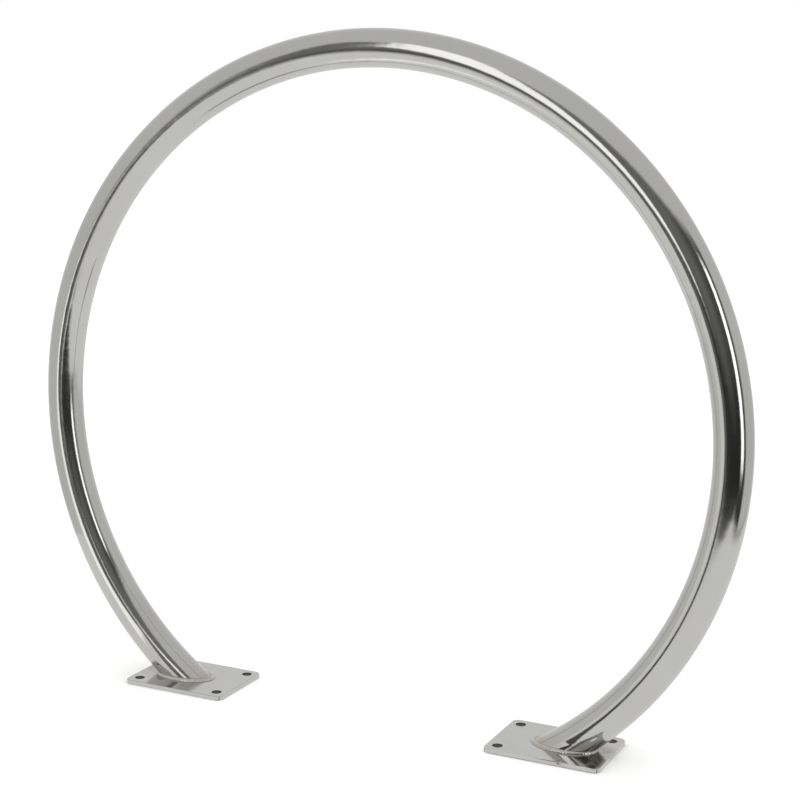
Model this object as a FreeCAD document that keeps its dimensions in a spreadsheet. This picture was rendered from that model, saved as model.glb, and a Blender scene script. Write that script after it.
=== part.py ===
import FreeCAD, Part
import os
import Sketcher

# Pool handrail: one round stainless tube bent to an open hoop.  Its two ends are cut flush with
# the ground-side base plates and welded to them all round, and each plate has four bolt holes.
# The hoop stands in the XZ plane with +Z up.  The origin is on the ground, midway between the
# plates, so their undersides are at z = 0.  Every length is in millimetres.

Vector = FreeCAD.Vector
Rotation = FreeCAD.Rotation
Placement = FreeCAD.Placement

PARTS_FOLDER = "parts"

DIMENSIONS = [
    # alias, value, meaning
    ("tube_diameter", 43.0, "outside diameter of the tube"),
    ("tube_wall", 1.5, "wall thickness of the tube"),
    ("hoop_radius", 422.5, "radius of the tube's centre line"),
    ("foot_spacing", 500.0, "distance between the centre line's ends, on top of the plates"),
    ("plate_length", 136.0, "base plate, along the hoop"),
    ("plate_width", 100.0, "base plate, across the hoop"),
    ("plate_thickness", 5.0, "base plate, sheet thickness"),
    ("plate_shift", 12.5, "plate centre, inboard of the tube's centre line"),
    ("corner_radius", 8.0, "base plate, rounding of its four corners in plan"),
    ("edge_rounding", 0.6, "base plate, rounding of its upper edge"),
    ("hole_diameter", 12.0, "bolt holes, clearance for M10"),
    ("hole_end_inset", 13.0, "bolt hole centre to the plate's short end"),
    ("hole_side_inset", 14.0, "bolt hole centre to the plate's long side"),
    ("weld_size", 3.5, "weld bead, radius of its round section"),
    ("cutter_margin", 20.0, "how far cutting shapes reach past what they cut"),
]

# Worked-out lengths, as expressions on the sheet
TUBE_RADIUS = "(Dimensions.tube_diameter / 2)"
HOOP_RISE = "sqrt(Dimensions.hoop_radius^2 - (Dimensions.foot_spacing / 2)^2)"
HOOP_CENTRE = f"(Dimensions.plate_thickness + {HOOP_RISE})"
HOOP_REACH = f"(Dimensions.hoop_radius + {TUBE_RADIUS} + Dimensions.cutter_margin)"
TOE = f"sqrt((Dimensions.hoop_radius - {TUBE_RADIUS})^2 - ({HOOP_RISE})^2)"
HEEL = f"sqrt((Dimensions.hoop_radius + {TUBE_RADIUS})^2 - ({HOOP_RISE})^2)"
PLATE_CENTRE = "(Dimensions.foot_spacing / 2 - Dimensions.plate_shift)"


def add_sheet(doc):
    """The driving dimensions, one row each, under plain-word aliases."""
    sheet = doc.addObject("Spreadsheet::Sheet", "Dimensions")
    for row, (alias, value, meaning) in enumerate(DIMENSIONS, start=1):
        sheet.set(f"A{row}", alias)
        sheet.set(f"B{row}", str(value))
        sheet.setAlias(f"B{row}", alias)
        sheet.set(f"C{row}", meaning)
    doc.recompute()
    return sheet


def bind(thing, **expressions):
    """Tie properties to expressions.  Base_x and the like stand for the Placement's base."""
    for name, expression in expressions.items():
        if name.startswith("Base_"):
            name = ".Placement.Base." + name[-1]
        thing.setExpression(name, expression)


def new_body(doc, label):
    body = doc.addObject("PartDesign::Body", label)
    body.Label = label
    return body


def new_sketch(body, name, plane_role):
    """A sketch on one of the body's own origin planes."""
    plane = next(item for item in body.Origin.OriginFeatures if item.Role == plane_role)
    sketch = body.newObject("Sketcher::SketchObject", name)
    sketch.AttachmentSupport = (plane, [""])
    sketch.MapMode = "FlatFace"
    return sketch


def constrain(sketch, name, constraint, expression):
    """Add one named sketch constraint and tie it to the sheet."""
    index = sketch.addConstraint(constraint)
    sketch.renameConstraint(index, name)
    sketch.setExpression("Constraints." + name, expression)


def centred_rectangle(sketch, length, width):
    """A rectangle about the sketch's origin, its sides given as expressions."""
    corners = [Vector(-1, -1, 0), Vector(1, -1, 0), Vector(1, 1, 0), Vector(-1, 1, 0)]
    for start, end in zip(corners, corners[1:] + corners[:1]):
        sketch.addGeometry(Part.LineSegment(start, end))
    for side in range(4):
        sketch.addConstraint(Sketcher.Constraint("Coincident", side, 2, (side + 1) % 4, 1))
    for side, direction in enumerate(("Horizontal", "Vertical") * 2):
        sketch.addConstraint(Sketcher.Constraint(direction, side))
    sketch.addConstraint(Sketcher.Constraint("Symmetric", 0, 1, 1, 2, -1, 1))
    constrain(sketch, "length", Sketcher.Constraint("DistanceX", 0, 1, 0, 2, 2.0), length)
    constrain(sketch, "width", Sketcher.Constraint("DistanceY", 1, 1, 1, 2, 2.0), width)


def edge_names(shape, wanted):
    """Names of the shape's edges for which wanted(edge) is true."""
    return [f"Edge{number}" for number, edge in enumerate(shape.Edges, start=1) if wanted(edge)]


def hoop_tube(doc):
    """The bent tube: a ring of tube, cut off level with the top of the base plates."""
    body = new_body(doc, "hoop_tube")
    bind(body, Base_z=HOOP_CENTRE)

    section = new_sketch(body, "TubeSection", "YZ_Plane")
    for radius in (2.0, 1.0):
        section.addGeometry(Part.Circle(Vector(0, 10, 0), Vector(0, 0, 1), radius))
    section.addConstraint(Sketcher.Constraint("PointOnObject", 0, 3, -2))
    section.addConstraint(Sketcher.Constraint("Coincident", 1, 3, 0, 3))
    constrain(section, "bend", Sketcher.Constraint("DistanceY", -1, 1, 0, 3, 10.0),
              "Dimensions.hoop_radius")
    constrain(section, "outside", Sketcher.Constraint("Radius", 0, 2.0), TUBE_RADIUS)
    constrain(section, "inside", Sketcher.Constraint("Radius", 1, 1.0),
              f"{TUBE_RADIUS} - Dimensions.tube_wall")

    ring = body.newObject("PartDesign::Revolution", "TubeRing")
    ring.Profile = section
    ring.ReferenceAxis = (section, ["H_Axis"])
    ring.Angle = 360
    doc.recompute()

    trim = new_sketch(body, "TrimOutline", "XY_Plane")
    trim.setExpression(".AttachmentOffset.Base.z", "-" + HOOP_RISE)
    centred_rectangle(trim, f"2 * {HOOP_REACH}", f"2 * {HOOP_REACH}")
    cut = body.newObject("PartDesign::Pocket", "TrimToPlates")
    cut.Profile = trim
    bind(cut, Length=f"{HOOP_REACH} - {HOOP_RISE}")
    body.Tip = cut
    return body


def base_plate(doc, label, side):
    """A rounded rectangular plate with four bolt holes.  side is +1 for right, -1 for left."""
    body = new_body(doc, label)
    bind(body, Base_x=f"{side} * {PLATE_CENTRE}")

    outline = new_sketch(body, label + "_outline", "XY_Plane")
    centred_rectangle(outline, "Dimensions.plate_length", "Dimensions.plate_width")
    slab = body.newObject("PartDesign::Pad", label + "_slab")
    slab.Profile = outline
    bind(slab, Length="Dimensions.plate_thickness")
    doc.recompute()

    corners = body.newObject("PartDesign::Fillet", label + "_corners")
    upright = edge_names(slab.Shape, lambda edge: edge.BoundBox.ZLength > edge.Length / 2)
    corners.Base = (slab, upright)
    bind(corners, Radius="Dimensions.corner_radius")
    doc.recompute()

    top = corners.Shape.BoundBox.ZMax
    rim = body.newObject("PartDesign::Fillet", label + "_rim")
    upper = edge_names(corners.Shape, lambda edge: edge.BoundBox.ZMin > top / 2)
    rim.Base = (corners, upper)
    bind(rim, Radius="Dimensions.edge_rounding")
    doc.recompute()

    spot = new_sketch(body, label + "_hole_spot", "XY_Plane")
    spot.addGeometry(Part.Circle(Vector(-9, -9, 0), Vector(0, 0, 1), 1.0))
    constrain(spot, "across", Sketcher.Constraint("DistanceX", 0, 3, -1, 1, 9.0),
              "Dimensions.plate_length / 2 - Dimensions.hole_end_inset")
    constrain(spot, "along", Sketcher.Constraint("DistanceY", 0, 3, -1, 1, 9.0),
              "Dimensions.plate_width / 2 - Dimensions.hole_side_inset")
    constrain(spot, "bore", Sketcher.Constraint("Diameter", 0, 2.0),
              "Dimensions.hole_diameter")
    hole = body.newObject("PartDesign::Pocket", label + "_hole")
    hole.Profile = spot
    hole.Type = "ThroughAll"
    hole.Reversed = True  # the sketch is on the underside, so the cut runs upwards
    doc.recompute()

    holes = body.newObject("PartDesign::MultiTransform", label + "_holes")
    holes.Originals = [hole]
    rows = []
    for axis, spacing in (
        ("H_Axis", "Dimensions.plate_length - 2 * Dimensions.hole_end_inset"),
        ("V_Axis", "Dimensions.plate_width - 2 * Dimensions.hole_side_inset"),
    ):
        row = body.newObject("PartDesign::LinearPattern", f"{label}_row_{len(rows) + 1}")
        row.Direction = (spot, [axis])
        row.Occurrences = 2
        bind(row, Length=spacing)
        rows.append(row)
    holes.Transformations = rows
    body.Tip = holes
    return body


def weld_bead(doc, label, turn):
    """The bead in the corner between the tube and a plate, all round the foot.

    The leaning tube meets the plate's top in an oval from TOE to HEEL.  A round section runs
    along that oval, and what lies inside the tube or in the plate is taken away.  turn is the
    angle about Z from the right foot, in degrees.
    """
    oval = doc.addObject("Part::Ellipse", label + "_oval")
    bind(oval, MajorRadius=f"({HEEL} - {TOE}) / 2", MinorRadius=TUBE_RADIUS)
    bind(oval, Base_x=f"({HEEL} + {TOE}) / 2", Base_z="Dimensions.plate_thickness")

    section = doc.addObject("Part::Circle", label + "_section")
    bind(section, Radius="Dimensions.weld_size")
    section.Placement.Rotation = Rotation(Vector(1, 0, 0), 90)
    bind(section, Base_x=HEEL, Base_z="Dimensions.plate_thickness")

    cord = doc.addObject("Part::Sweep", label + "_cord")
    cord.Sections = [section]
    cord.Spine = (oval, ["Edge1"])
    cord.Solid = True

    space = doc.addObject("Part::Box", label + "_space")  # all that is above the plate
    bind(space, Length=HOOP_REACH, Width=f"2 * {HOOP_REACH}", Height=HOOP_REACH)
    bind(space, Base_y="-" + HOOP_REACH, Base_z="Dimensions.plate_thickness")

    above = doc.addObject("Part::Common", label + "_above")
    above.Base = cord
    above.Tool = space

    rod = doc.addObject("Part::Torus", label + "_rod")  # the bent tube as if it were solid
    bind(rod, Radius1="Dimensions.hoop_radius", Radius2=TUBE_RADIUS)
    rod.Placement.Rotation = Rotation(Vector(1, 0, 0), 90)
    bind(rod, Base_z=HOOP_CENTRE)

    bead = doc.addObject("Part::Cut", label)
    bead.Label = label
    bead.Base = above
    bead.Tool = rod
    bead.Placement = Placement(Vector(0, 0, 0), Rotation(Vector(0, 0, 1), turn))
    return bead


def check(doc, nodes):
    """Stop if any feature failed or any sub-part isn't one valid solid."""
    for thing in doc.Objects:
        if "Invalid" in thing.State or "Error" in thing.State:
            raise RuntimeError(f"{thing.Label} failed: {thing.State}")
    for node in nodes:
        shape = node.Shape
        if shape.isNull() or not shape.isValid() or len(shape.Solids) != 1:
            raise RuntimeError(f"{node.Label} is not one valid solid")


def main():
    doc = FreeCAD.newDocument("PoolHandrail")
    add_sheet(doc)
    nodes = [
        hoop_tube(doc),
        base_plate(doc, "left_base_plate", -1),
        base_plate(doc, "right_base_plate", 1),
        weld_bead(doc, "left_weld_bead", 180),
        weld_bead(doc, "right_weld_bead", 0),
    ]
    doc.recompute()
    check(doc, nodes)
    os.makedirs(PARTS_FOLDER, exist_ok=True)
    for node in nodes:
        node.Shape.exportStep(os.path.join(PARTS_FOLDER, node.Label + ".step"))
        box = node.Shape.BoundBox
        print(f"{node.Label}: {node.Shape.Volume:.0f} mm3, x {box.XMin:.1f} to {box.XMax:.1f}, "
              f"y {box.YMin:.1f} to {box.YMax:.1f}, z {box.ZMin:.1f} to {box.ZMax:.1f}")


main()
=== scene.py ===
import math
import random

import bpy
from mathutils import Matrix, Vector


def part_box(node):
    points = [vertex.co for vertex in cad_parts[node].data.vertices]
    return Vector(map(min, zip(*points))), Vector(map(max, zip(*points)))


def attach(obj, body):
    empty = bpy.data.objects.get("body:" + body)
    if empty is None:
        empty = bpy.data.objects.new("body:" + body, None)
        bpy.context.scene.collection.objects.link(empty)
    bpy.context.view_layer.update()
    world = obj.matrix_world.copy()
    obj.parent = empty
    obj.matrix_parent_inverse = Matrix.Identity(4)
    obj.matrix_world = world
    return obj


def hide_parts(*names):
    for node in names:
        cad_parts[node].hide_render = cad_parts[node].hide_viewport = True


# Pool handrail: the looks.  Everything is in metres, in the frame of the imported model.
# The hoop stands in the XZ plane, the viewer is on the -Y side, and +Z is up.

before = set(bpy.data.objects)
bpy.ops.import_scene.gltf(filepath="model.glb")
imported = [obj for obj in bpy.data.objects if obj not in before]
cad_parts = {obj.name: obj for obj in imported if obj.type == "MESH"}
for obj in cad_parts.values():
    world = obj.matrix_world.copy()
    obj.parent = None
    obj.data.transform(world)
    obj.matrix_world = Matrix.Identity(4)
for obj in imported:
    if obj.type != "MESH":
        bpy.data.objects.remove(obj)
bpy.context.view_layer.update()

# ---- sizes read from the frame ---------------------------------------------------------------
tube_low, tube_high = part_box("hoop_tube")
plate_low, plate_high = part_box("right_base_plate")
TUBE_RADIUS = (tube_high[1] - tube_low[1]) / 2
HOOP_RADIUS = tube_high[0] - TUBE_RADIUS
HOOP_HEIGHT = tube_high[2] - tube_high[0]  # of the hoop's centre
PLATE_TOP = plate_high[2]
PLATE_CENTRE_X = (plate_low[0] + plate_high[0]) / 2
HEEL_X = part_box("right_weld_bead")[1][0]  # the outer end of the bead
HALF_PLATE = ((plate_high[0] - plate_low[0]) / 2, (plate_high[1] - plate_low[1]) / 2)

# ---- sizes of what only the looks need -------------------------------------------------------
MM = 0.001
TUBE_WALL = 1.5 * MM
AROUND_STEPS = 216
ALONG_STEPS = 600
BORE_ALONG_STEPS = 160
WAVE_DEPTH = 0.10 * MM  # the deepest that the tube's slight waves can reach

WELD_LEG = 3.5 * MM
WELD_STATIONS = 420
WELD_PROFILE_STEPS = 12
WELD_FULLNESS = 0.55  # 0 is a flat fillet, 1 a round one
WELD_RIPPLES = 62
WELD_RIPPLE_DEPTH = 0.035
WELD_MEAN_SIZE = 0.93  # of the full leg, so that the ripples stay within it

draw = random.Random(7)


def smooth_step(value, start, stop):
    """0 before start, 1 past stop and a smooth rise between them.  start may be above stop."""
    share = min(1, max(0, (value - start) / (stop - start)))
    return share * share * (3 - 2 * share)


# ---- mesh helpers ----------------------------------------------------------------------------
def new_piece(name, points, faces, smooth=True):
    """A mesh object in the scene, made from points and faces."""
    mesh = bpy.data.meshes.new(name)
    mesh.from_pydata([tuple(point) for point in points], [], faces)
    mesh.validate()
    if smooth:
        mesh.polygons.foreach_set("use_smooth", [True] * len(mesh.polygons))
    piece = bpy.data.objects.new(name, mesh)
    bpy.context.scene.collection.objects.link(piece)
    return piece


def grid_faces(rows, columns, first=0, inward=False):
    """Quads of a tube-like grid: rows go along, columns go round and close on themselves."""
    faces = []
    for row in range(rows - 1):
        for column in range(columns):
            beside = (column + 1) % columns
            here = first + row * columns
            quad = (here + column, here + beside, here + columns + beside, here + columns + column)
            faces.append(quad[::-1] if inward else quad)
    return faces


# ---- the bent tube ---------------------------------------------------------------------------
def tube_point(arc, around, radius):
    """A point of the bent tube.  arc runs from the top to the right; around is 0 at the front
    and a quarter turn on the outside of the bend."""
    reach = HOOP_RADIUS + radius * math.sin(around)
    return Vector((
        reach * math.sin(arc),
        -radius * math.cos(around),
        HOOP_HEIGHT + reach * math.cos(arc),
    ))


def end_arc(around, radius):
    """The arc at which that line of the tube reaches the top of the plate."""
    reach = HOOP_RADIUS + radius * math.sin(around)
    return math.acos((PLATE_TOP - HOOP_HEIGHT) / reach)


WAVES = [
    # waves per radian of arc, turns round the tube, phase, share
    (draw.uniform(low, high), draw.choice((-2, -1, 1, 2)), draw.uniform(0, math.tau), share)
    for low, high, share in ((9, 12, 0.3), (17, 23, 0.3), (31, 40, 0.22), (52, 66, 0.18))
]


def surface_dip(arc, around):
    """How far the polished surface lies inside the true tube, because of slight waves."""
    wave = sum(share * math.sin(rate * arc + turns * around + phase)
               for rate, turns, phase, share in WAVES)
    strength = 0.6 - 0.4 * math.sin(around)  # 1 on the inside of the bend, 0.2 on the outside
    return WAVE_DEPTH * (1 + wave * strength) / 2


def tube_surface(rows, inner):
    """The points of the tube's outer or inner surface, and each one's place on the unrolled
    tube: metres along it and metres round it."""
    points, places = [], []
    for row in range(rows):
        share = 2 * row / (rows - 1) - 1
        for column in range(AROUND_STEPS):
            around = math.tau * column / AROUND_STEPS - math.pi
            radius = TUBE_RADIUS - TUBE_WALL if inner else TUBE_RADIUS
            arc = share * end_arc(around, radius)
            if not inner:
                radius -= surface_dip(arc, around)
            point = tube_point(arc, around, radius)
            if abs(share) == 1:
                point.z = PLATE_TOP
            points.append(point)
            places.append((arc * HOOP_RADIUS, around * TUBE_RADIUS))
    return points, places


def end_rim(outer, bore, flip):
    """Quads across the tube's wall at one end, from the first points of its two edges."""
    faces = []
    for column in range(AROUND_STEPS):
        beside = (column + 1) % AROUND_STEPS
        quad = (outer + column, bore + column, bore + beside, outer + beside)
        faces.append(quad[::-1] if flip else quad)
    return faces


def unroll(piece, places):
    """Lay the tube's UV map out in metres, so that its seam has no stretched faces."""
    layer = piece.data.uv_layers.new(name="tube_uv")
    girth = math.tau * TUBE_RADIUS
    for face in piece.data.polygons:
        across = [places[index][1] for index in face.vertices]
        wraps = max(across) - min(across) > girth / 2
        for loop_index, index in zip(face.loop_indices, face.vertices):
            along, side = places[index]
            if wraps and side < 0:
                side += girth
            layer.data[loop_index].uv = (along, side)


def make_tube():
    outer_rows, bore_rows = ALONG_STEPS + 1, BORE_ALONG_STEPS + 1
    points, places = tube_surface(outer_rows, inner=False)
    bore_first = len(points)
    bore_points, bore_places = tube_surface(bore_rows, inner=True)
    points += bore_points
    places += bore_places
    faces = grid_faces(outer_rows, AROUND_STEPS, inward=True)
    faces += grid_faces(bore_rows, AROUND_STEPS, first=bore_first)
    faces += end_rim(0, bore_first, flip=True)
    faces += end_rim(bore_first - AROUND_STEPS, len(points) - AROUND_STEPS, flip=False)
    piece = new_piece("polished_tube", points, faces)
    unroll(piece, places)
    for rim_face in piece.data.polygons[-2 * AROUND_STEPS:]:
        rim_face.use_smooth = False
    return piece


# ---- weld beads ------------------------------------------------------------------------------
def make_weld(name, side):
    """The bead round one foot.  side is 1 on the right and -1 on the left."""
    points = []
    columns = WELD_PROFILE_STEPS + 2
    phases = [draw.uniform(0, math.tau) for _ in range(3)]
    for station in range(WELD_STATIONS):
        around = math.tau * station / WELD_STATIONS
        arc = end_arc(around, TUBE_RADIUS)
        root = tube_point(arc, around, TUBE_RADIUS)
        spine = tube_point(arc, around, 0)
        normal = (root - spine).normalized()
        outward = Vector((normal.x, normal.y, 0)).normalized()
        lean = math.atan2(normal.dot(outward), -normal.z)  # angle of the tube's side to the plate
        beat = WELD_RIPPLES * around
        ripple = math.sin(beat + 0.5 * math.sin(beat) + phases[0])
        drift = 0.5 * math.sin(3 * around + phases[1]) + 0.5 * math.sin(7 * around + phases[2])
        leg = WELD_LEG * (WELD_MEAN_SIZE + WELD_RIPPLE_DEPTH * (ripple + drift) / 2)
        points.append(root)
        for step in range(WELD_PROFILE_STEPS + 1):
            slope = lean * step / WELD_PROFILE_STEPS
            flat = math.cos(lean / 2) / math.cos(slope - lean / 2)
            size = leg * (WELD_FULLNESS + (1 - WELD_FULLNESS) * flat)
            rise = Vector((0, 0, math.sin(slope)))
            points.append(root + size * (math.cos(slope) * outward + rise))
    faces = grid_faces(WELD_STATIONS, columns)
    last = (WELD_STATIONS - 1) * columns
    for column in range(columns):
        beside = (column + 1) % columns
        faces.append((last + column, last + beside, beside, column))
    if side < 0:
        points = [Vector((-point.x, -point.y, point.z)) for point in points]
    return new_piece(name, points, faces)


# ---- material helpers ------------------------------------------------------------------------
class Nodes:
    """A small wrapper that adds and links shader nodes of one material."""

    def __init__(self, name):
        self.material = bpy.data.materials.new(name)
        self.material.use_nodes = True
        self.tree = self.material.node_tree
        self.shader = self.tree.nodes["Principled BSDF"]

    def add(self, kind, inputs=None, **settings):
        node = self.tree.nodes.new("ShaderNode" + kind)
        for key, value in settings.items():
            setattr(node, key, value)
        for key, value in (inputs or {}).items():
            self.put(node, key, value)
        return node

    def put(self, node, key, value):
        if isinstance(value, bpy.types.NodeSocket):
            self.tree.links.new(value, node.inputs[key])
        else:
            node.inputs[key].default_value = value

    def math(self, operation, first, second=0.0):
        return self.add("Math", {0: first, 1: second}, operation=operation).outputs[0]

    def stretched(self, source, scale):
        return self.add("Mapping", {"Vector": source, "Scale": scale}).outputs[0]

    def noise(self, source, scale, detail=2.0, roughness=0.5):
        node = self.add("TexNoise", {
            "Vector": source, "Scale": scale, "Detail": detail, "Roughness": roughness,
        })
        return node.outputs["Fac"]

    def between(self, value, low, high, start=0.0, stop=1.0):
        """Map value from start..stop to low..high, kept within that range."""
        node = self.add("MapRange", {
            "Value": value, "From Min": start, "From Max": stop, "To Min": low, "To Max": high,
        })
        return node.outputs[0]

    def mix(self, factor, first, second):
        node = self.add("Mix", data_type="RGBA")
        self.put(node, 0, factor)
        self.put(node, 6, first)
        self.put(node, 7, second)
        return node.outputs[2]

    def bump(self, height, distance, strength=1.0, normal=None):
        node = self.add("Bump", {"Height": height, "Distance": distance, "Strength": strength})
        if normal is not None:
            self.put(node, "Normal", normal)
        return node.outputs["Normal"]


STEEL = (0.60, 0.596, 0.585, 1)
STEEL_DULL = (0.53, 0.525, 0.515, 1)
STRAW = (0.50, 0.40, 0.28, 1)  # the faint heat tint beside a weld
HEEL_SHADE = (0.13, 0.10, 0.085, 1)  # painted shade at the heel, under the tube's overhang
HOLE_SHADE = (0.10, 0.098, 0.095, 1)  # painted shade inside the bolt holes
HEEL_SHADE_STRENGTHS = (0.3, 0.5)  # how strong the heel's painted shade is on the left and on the right foot
HEEL_CORE = 12 * MM  # the heel's painted shade is full within this distance of the bead's outer end
HEEL_LOW, HEEL_HIGH = PLATE_TOP + 8 * MM, PLATE_TOP + 26 * MM  # full below, gone above
STRAW_LOW, STRAW_HIGH = PLATE_TOP + 2 * MM, PLATE_TOP + 16 * MM  # the same for the faint tint
HOLE_MARGIN = 2 * MM  # upright faces further inside the plate's outline than this are holes


def heel_shade(nodes, position, reach):
    """Painted shade under the tube's overhang: 0 to 1 near the outer end of each bead, patchy, and
    stronger on the right foot.
    """
    parts = nodes.add("SeparateXYZ", {0: position})
    beyond = nodes.math("SUBTRACT", nodes.math("ABSOLUTE", parts.outputs[0]), HEEL_X)
    flat = nodes.add("CombineXYZ", {0: beyond, 1: parts.outputs[1]})
    distance = nodes.add("VectorMath", {0: flat.outputs[0]}, operation="LENGTH").outputs["Value"]
    close = nodes.between(distance, 1, 0, HEEL_CORE, reach)
    low = nodes.between(parts.outputs[2], 1, 0, HEEL_LOW, HEEL_HIGH)
    side = nodes.between(parts.outputs[0], *HEEL_SHADE_STRENGTHS, -0.01, 0.01)
    patch = nodes.between(nodes.noise(position, 90, 4, 0.6), 0.35, 1, 0.35, 0.6)
    return nodes.math("MULTIPLY", nodes.math("MULTIPLY", close, low),
                      nodes.math("MULTIPLY", side, patch))


def tube_material():
    """Mirror-polished steel with faint smudges and grinding rings, heat tint by the welds and
    painted shade at the heels.
    """
    nodes = Nodes("polished_tube")
    place = nodes.add("UVMap", uv_map="tube_uv").outputs[0]
    position = nodes.add("TexCoord").outputs["Object"]
    smudge = nodes.noise(position, 9, 4, 0.6)
    lines = nodes.noise(nodes.stretched(place, (8, 900, 1)), 1, 3, 0.6)
    rings = nodes.noise(nodes.stretched(place, (700, 10, 1)), 1, 3, 0.6)
    height = nodes.add("SeparateXYZ", {0: position}).outputs[2]
    near_weld = nodes.between(height, 1, 0, STRAW_LOW, STRAW_HIGH)
    patch = nodes.between(nodes.noise(position, 55, 3), 0, 1, 0.35, 0.7)
    tint = nodes.math("MULTIPLY", nodes.math("MULTIPLY", near_weld, patch), 0.55)
    steel = nodes.mix(nodes.between(smudge, 0, 0.5, 0.35, 0.75), STEEL, STEEL_DULL)
    straw = nodes.mix(tint, steel, STRAW)
    nodes.put(nodes.shader, "Base Color",
              # Painted shade: the tube is darkened near the heel, under its overhang.
              nodes.mix(heel_shade(nodes, position, 34 * MM), straw, HEEL_SHADE))
    nodes.put(nodes.shader, "Metallic", 1.0)
    gloss = nodes.math("ADD", nodes.between(smudge, 0.09, 0.16, 0.3, 0.8),
                       nodes.between(lines, 0.0, 0.05, 0.5, 0.9))
    nodes.put(nodes.shader, "Roughness", gloss)
    rolling = nodes.bump(nodes.noise(position, 42, 2), 0.16 * MM)
    fine = nodes.bump(lines, 0.004 * MM, 0.5, rolling)
    nodes.put(nodes.shader, "Normal", nodes.bump(rings, 0.003 * MM, 0.5, fine))
    return nodes.material


def plate_material():
    """Polished steel with fine scratches, duller cut edges, painted shade in the bolt holes and
    painted shade by the heels.
    """
    nodes = Nodes("polished_plate")
    position = nodes.add("TexCoord").outputs["Object"]
    parts = nodes.add("SeparateXYZ", {0: position})
    facing = nodes.add("SeparateXYZ", {0: nodes.add("NewGeometry").outputs["Normal"]}).outputs[2]
    upright = nodes.between(nodes.math("ABSOLUTE", facing), 1, 0, 0.15, 0.5)
    from_centre = nodes.math("ABSOLUTE", nodes.math(
        "SUBTRACT", nodes.math("ABSOLUTE", parts.outputs[0]), PLATE_CENTRE_X))
    inside_x = nodes.math("LESS_THAN", from_centre, HALF_PLATE[0] - HOLE_MARGIN)
    inside_y = nodes.math("LESS_THAN", nodes.math("ABSOLUTE", parts.outputs[1]),
                          HALF_PLATE[1] - HOLE_MARGIN)
    hole = nodes.math("MULTIPLY", upright, nodes.math("MULTIPLY", inside_x, inside_y))
    smudge = nodes.noise(position, 22, 4, 0.6)
    scratch = nodes.noise(nodes.stretched(position, (30, 1400, 30)), 1, 3, 0.65)
    cut_lines = nodes.noise(nodes.stretched(position, (900, 900, 20)), 1, 2)
    steel = nodes.mix(nodes.between(smudge, 0, 0.6, 0.35, 0.75), STEEL, STEEL_DULL)
    # Painted shade: the plate is darkened beside the heel, under the tube's overhang.
    heel_shaded = nodes.mix(heel_shade(nodes, position, 26 * MM), steel, HEEL_SHADE)
    # Painted shade: the bolt holes' walls are darkened.
    nodes.put(nodes.shader, "Base Color", nodes.mix(hole, heel_shaded, HOLE_SHADE))
    nodes.put(nodes.shader, "Metallic", 1.0)
    flat_gloss = nodes.between(smudge, 0.08, 0.17, 0.3, 0.8)
    nodes.put(nodes.shader, "Roughness",
              nodes.math("ADD", flat_gloss, nodes.math("MULTIPLY", upright, 0.2)))
    fine = nodes.bump(scratch, 0.004 * MM, 0.5)
    cut = nodes.bump(nodes.math("MULTIPLY", cut_lines, upright), 0.05 * MM, 0.6, fine)
    nodes.put(nodes.shader, "Normal", cut)
    return nodes.material


def weld_material():
    """Slightly duller steel with straw-coloured patches."""
    nodes = Nodes("weld_metal")
    position = nodes.add("TexCoord").outputs["Object"]
    patch = nodes.noise(position, 160, 4, 0.6)
    grain = nodes.noise(position, 900, 3, 0.6)
    nodes.put(nodes.shader, "Base Color",
              nodes.mix(nodes.between(patch, 0, 0.55, 0.4, 0.75), STEEL, STRAW))
    nodes.put(nodes.shader, "Metallic", 1.0)
    nodes.put(nodes.shader, "Roughness", nodes.between(patch, 0.16, 0.34, 0.3, 0.8))
    nodes.put(nodes.shader, "Normal", nodes.bump(grain, 0.03 * MM, 0.5))
    return nodes.material


# ---- pieces ----------------------------------------------------------------------------------
def finish_piece(piece, material, node):
    """Give the piece its material, hang it under the root body and hide the CAD node it stands in
    for.
    """
    piece.data.materials.append(material)
    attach(piece, "root")
    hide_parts(node)


finish_piece(make_tube(), tube_material(), "hoop_tube")
weld_metal = weld_material()
finish_piece(make_weld("right_weld", 1), weld_metal, "right_weld_bead")
finish_piece(make_weld("left_weld", -1), weld_metal, "left_weld_bead")
plate_steel = plate_material()
for node_name in ("left_base_plate", "right_base_plate"):
    for material_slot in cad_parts[node_name].material_slots:
        material_slot.material = plate_steel

# ---- studio ----------------------------------------------------------------------------------
# A white light tent on a white table, which only reflections show.  Towards the viewer the tent
# is open to a darker room, with an upright softbox at either side of the opening.  Bearings are
# seen from above, in degrees: 0 is away along +Y and 90 is to the right along +X.
VIEW_BEARING = 153.8
TENT_RADIUS = 2.1
TENT_GLOW = 0.67
TENT_FAR_GLOW = 0.79  # of the tent's side across from the viewer
TENT_COLOUR = (1, 1, 0.985, 1)
OPENING_BEARINGS = (92, 227)
OPENING_HEIGHTS = (-1.2, 2.3)
OPENING_GRID = (270, 140)
ROOM_GLOW = 0.02  # of the room's darkest part, low down
ROOM_BEARINGS = (101, 200)  # where the tent is open, low down
ROOM_HEIGHTS = (1.6, 2.15)  # the opening ends between these
RIGHT_BOX_BEARINGS = (107, 117)
RIGHT_BOX_HEIGHTS = (0.1, 1.35)
RIGHT_BOX_GLOW = 2.1
LEFT_BOX_BEARINGS = (178, 191)  # of its two sides, carried down to the height of the table
LEFT_BOX_LEAN = (12, 26)  # how far each side has moved outwards two metres up
LEFT_BOX_LIMIT = 204  # no part of it reaches further out than about this
LEFT_BOX_HEIGHTS = (0.4, 2.1)
LEFT_BOX_GLOW = 1.5
SOFT_LIGHT = 1.25  # the even light on everything that isn't a reflection

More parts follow.
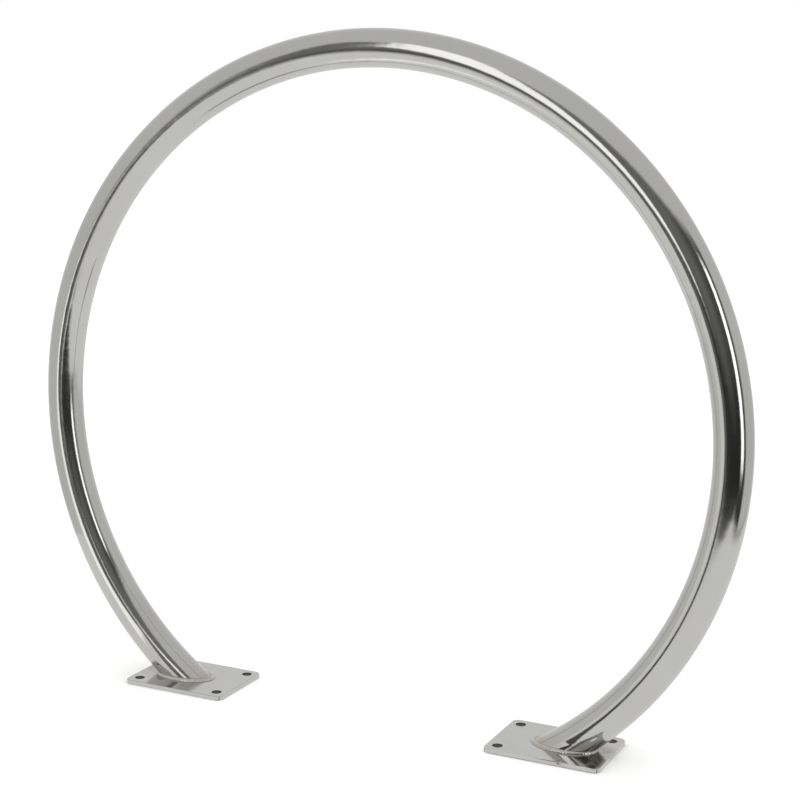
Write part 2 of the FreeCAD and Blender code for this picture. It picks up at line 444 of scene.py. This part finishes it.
TABLE_GLOW = 0.86
TABLE_EDGE_GLOW = 0.45
TABLE_FRONT = 0.97  # from the hoop's centre to the table's front edge, towards the viewer
TABLE_SIDES = (-0.78, 0.96)
TABLE_BACK = 1.6
TABLE_HEIGHT = 0.0005
TABLE_EDGE_X = 1.0
TABLE_EDGE_ENDS = (-0.6, 0.7)
TABLE_EDGE_WIDTH = 0.08
FOLD_THICKNESS = 0.002
FOLD_FOOT = 0.001  # height of a fold's feet
# Painted light on the sheet: the bright fold's slope is a painted glint of a softbox, the dark
# fold's slope the hoop's painted shadow.
FOLDS = {
    # the ridge's two ends, the two ends of the foot of the slope that differs, its painted light
    "fold_painted_glint": (((-0.31, -0.17, 0.08), (-0.93, -1.55, 0.28)),
                    ((-0.37, -0.15, FOLD_FOOT), (-1.15, -1.45, FOLD_FOOT)), 1.4),
    "fold_painted_shadow": (((0.24, -0.04, 0.02), (-0.33, -1.15, 0.15)),
                  ((0.265, -0.04, FOLD_FOOT), (-0.16, -1.15, FOLD_FOOT)), 0.08),
}
STAND_SIDES = (-0.6, -0.18)
STAND_Y = -1.3
STAND_HEIGHT = 0.42
STAND_GLOW = 0.14
FLOOR_HALF_SIZE = 40
FLOOR_DROP = 0.0002


def bearing_point(bearing, radius, height=0.0):
    angle = math.radians(bearing)
    return Vector((radius * math.sin(angle), radius * math.cos(angle), height))


def inside(value, low, high, soft):
    """1 between low and high, falling smoothly to 0 over the width soft on either side."""
    return smooth_step(value, low - soft, low) * smooth_step(value, high + soft, high)


def opening_light(bearing, height):
    """Brightness of the tent's open side: the room beyond it and the two softboxes."""
    # the opening gets wider to the left further up, and its edges get sharper at the top
    near_side, far_side = ROOM_BEARINGS
    far_side += 9 * smooth_step(height, -0.1, 0.4) + 4 * smooth_step(height, 0.4, 1.2)
    fade = 11 - 5 * smooth_step(bearing, 120, 150) * smooth_step(height, 0.9, 1.4)
    low, high = ROOM_HEIGHTS
    open_side = inside(bearing, near_side, far_side, fade) * smooth_step(height, high, low)
    # the room gets a little lighter further up, most of all to the left
    room = ROOM_GLOW + 0.05 * smooth_step(height, 0.3, 0.8)
    room += 0.1 * smooth_step(height, 0.05, 0.4) * smooth_step(bearing, 125, 160)
    light = TENT_GLOW + open_side * (room - TENT_GLOW)
    right_box = inside(bearing, *RIGHT_BOX_BEARINGS, 2) * inside(height, *RIGHT_BOX_HEIGHTS, 0.25)
    light += right_box * (RIGHT_BOX_GLOW - light)
    rise = min(1, max(0, height / 2))
    inner, outer = (foot + lean * rise for foot, lean in zip(LEFT_BOX_BEARINGS, LEFT_BOX_LEAN))
    left_box = inside(bearing, inner, min(LEFT_BOX_LIMIT, outer), 2.5)
    left_box *= inside(height, *LEFT_BOX_HEIGHTS, 0.1)
    light += left_box * (LEFT_BOX_GLOW - light)
    return light


def glow_material(name, light):
    """A plain glowing surface.  light is a number, or the name of a mesh attribute."""
    material = bpy.data.materials.new(name)
    material.use_nodes = True
    tree = material.node_tree
    tree.nodes.clear()
    output = tree.nodes.new("ShaderNodeOutputMaterial")
    glow = tree.nodes.new("ShaderNodeEmission")
    glow.inputs["Color"].default_value = TENT_COLOUR
    if isinstance(light, str):
        attribute = tree.nodes.new("ShaderNodeAttribute")
        attribute.attribute_name = light
        tree.links.new(attribute.outputs["Fac"], glow.inputs["Strength"])
    else:
        glow.inputs["Strength"].default_value = light
    tree.links.new(glow.outputs[0], output.inputs["Surface"])
    return material


def stage_card(name, points, faces, material):
    """A card that only reflections see."""
    card = new_piece(name, points, faces, smooth=False)
    card.data.materials.append(material)
    card.visible_camera = False
    card.visible_diffuse = False
    card.visible_shadow = False
    return card


def make_opening():
    """The tent's side towards the viewer: a curved grid whose points each have their light."""
    columns, rows = OPENING_GRID
    first_bearing, last_bearing = OPENING_BEARINGS
    bottom, top = OPENING_HEIGHTS
    points, lights = [], []
    for row in range(rows + 1):
        height = bottom + (top - bottom) * row / rows
        for column in range(columns + 1):
            bearing = first_bearing + (last_bearing - first_bearing) * column / columns
            points.append(bearing_point(bearing, TENT_RADIUS, height))
            lights.append(opening_light(bearing, height))
    faces = []
    for row in range(rows):
        for column in range(columns):
            here = row * (columns + 1) + column
            faces.append((here, here + 1, here + columns + 2, here + columns + 1))
    card = stage_card("opening", points, faces, glow_material("opening", "light"))
    attribute = card.data.attributes.new("light", "FLOAT", "POINT")
    attribute.data.foreach_set("value", lights)


def four_sided_card(name, corners, light):
    stage_card(name, corners, [(0, 1, 2, 3)], glow_material(name, light))


def make_table():
    """The bright sheet that the rail stands on, and the shaded edge of the table beside it."""
    towards = bearing_point(VIEW_BEARING, 1)
    left, right = TABLE_SIDES
    outline = [(left, TABLE_BACK), (right, TABLE_BACK)]
    outline += [(x, (TABLE_FRONT - towards.x * x) / towards.y) for x in (right, left)]
    four_sided_card("table", [(x, y, TABLE_HEIGHT) for x, y in outline], TABLE_GLOW)
    near, far = TABLE_EDGE_ENDS
    inner, outer = TABLE_EDGE_X - TABLE_EDGE_WIDTH / 2, TABLE_EDGE_X + TABLE_EDGE_WIDTH / 2
    outline = [(outer, near), (outer, far), (inner, far), (inner, near)]
    four_sided_card("table_side", [(x, y, TABLE_HEIGHT) for x, y in outline], TABLE_EDGE_GLOW)


def make_folds():
    """Two low folds in the sheet.  One is bright on its left side, a painted glint of a softbox,
    and the other is dark on its right side, the hoop's painted shadow; their other sides are as
    bright as the table."""
    for name, (ridge, foot, light) in FOLDS.items():
        away = math.copysign(FOLD_THICKNESS, ridge[0][0] - foot[0][0])
        behind = [(x + away, y, FOLD_FOOT) for x, y, _ in ridge]
        # the slope glows with the painted glint or the painted shadow
        four_sided_card(f"{name}_slope", [*ridge, *reversed(foot)], light)
        four_sided_card(f"{name}_back", [*ridge, *reversed(behind)], TABLE_GLOW)


def make_stand():
    """A camera stand at the table's front, which hides the left softbox from the left leg."""
    left, right = STAND_SIDES
    outline = [(left, 0), (right, 0), (right, STAND_HEIGHT), (left, STAND_HEIGHT)]
    four_sided_card("stand", [(x, STAND_Y, z) for x, z in outline], STAND_GLOW)


def make_floor():
    """The white floor that the camera sees.  Reflections see the table instead."""
    size = FLOOR_HALF_SIZE
    corners = [(-size, -size, 0), (size, -size, 0), (size, size, 0), (-size, size, 0)]
    floor = new_piece("floor", corners, [(0, 1, 2, 3)], smooth=False)
    floor.location.z = -FLOOR_DROP
    floor.visible_glossy = False
    material = bpy.data.materials.new("floor_white")
    material.use_nodes = True
    shader = material.node_tree.nodes["Principled BSDF"]
    shader.inputs["Base Color"].default_value = (0.93, 0.93, 0.925, 1)
    shader.inputs["Roughness"].default_value = 0.9
    shader.inputs["Specular IOR Level"].default_value = 0.1
    floor.data.materials.append(material)


def make_world():
    """White to the camera, even soft light on the floor, and the tent's grey in reflections."""
    world = bpy.data.worlds.new("tent")
    bpy.context.scene.world = world
    world.use_nodes = True
    tree = world.node_tree
    tree.nodes.clear()
    output = tree.nodes.new("ShaderNodeOutputWorld")
    ray = tree.nodes.new("ShaderNodeLightPath")
    place = tree.nodes.new("ShaderNodeTexCoord")
    away = tree.nodes.new("ShaderNodeVectorMath")
    away.operation = "DOT_PRODUCT"
    away.inputs[1].default_value = -bearing_point(VIEW_BEARING, 1)
    ramp = tree.nodes.new("ShaderNodeMapRange")
    ramp.inputs["From Min"].default_value = 0.55
    ramp.inputs["From Max"].default_value = 0.95
    ramp.inputs["To Min"].default_value = TENT_GLOW
    ramp.inputs["To Max"].default_value = TENT_FAR_GLOW
    tree.links.new(place.outputs["Generated"], away.inputs[0])
    tree.links.new(away.outputs["Value"], ramp.inputs["Value"])
    tent = tree.nodes.new("ShaderNodeBackground")
    tent.inputs["Color"].default_value = TENT_COLOUR
    tree.links.new(ramp.outputs[0], tent.inputs["Strength"])
    soft = tree.nodes.new("ShaderNodeBackground")
    soft.inputs["Color"].default_value = (1, 1, 1, 1)
    soft.inputs["Strength"].default_value = SOFT_LIGHT
    white = tree.nodes.new("ShaderNodeBackground")
    white.inputs["Color"].default_value = (1, 1, 1, 1)
    for_gloss = tree.nodes.new("ShaderNodeMixShader")
    for_camera = tree.nodes.new("ShaderNodeMixShader")
    tree.links.new(ray.outputs["Is Glossy Ray"], for_gloss.inputs[0])
    tree.links.new(soft.outputs[0], for_gloss.inputs[1])
    tree.links.new(tent.outputs[0], for_gloss.inputs[2])
    tree.links.new(ray.outputs["Is Camera Ray"], for_camera.inputs[0])
    tree.links.new(for_gloss.outputs[0], for_camera.inputs[1])
    tree.links.new(white.outputs[0], for_camera.inputs[2])
    tree.links.new(for_camera.outputs[0], output.inputs["Surface"])


def make_camera():
    """To the viewer's side of the hoop's centre, with three small turns that frame it.  The
    distance is in metres."""
    azimuth, elevation, distance = math.radians(26.185), math.radians(11.189), 1.9379
    turn, dip, roll = math.radians(-1.048), math.radians(-0.851), math.radians(0.968)
    focal_widths = 2.11725  # focal length over the picture's width
    camera = bpy.data.objects.new("camera", bpy.data.cameras.new("camera"))
    camera.data.sensor_width = 36
    camera.data.lens = focal_widths * camera.data.sensor_width
    camera.location = Vector((
        distance * math.sin(azimuth) * math.cos(elevation),
        -distance * math.cos(azimuth) * math.cos(elevation),
        HOOP_HEIGHT + distance * math.sin(elevation),
    ))
    pitch = math.pi / 2 - (elevation + dip)
    camera.rotation_euler = (
        Matrix.Rotation(azimuth + turn, 3, "Z")
        @ Matrix.Rotation(pitch, 3, "X")
        @ Matrix.Rotation(roll, 3, "Z")
    ).to_euler()
    bpy.context.scene.collection.objects.link(camera)
    bpy.context.scene.camera = camera


make_opening()
make_table()
make_folds()
make_stand()
make_floor()
make_world()
make_camera()
bpy.context.scene.view_settings.view_transform = "Standard"
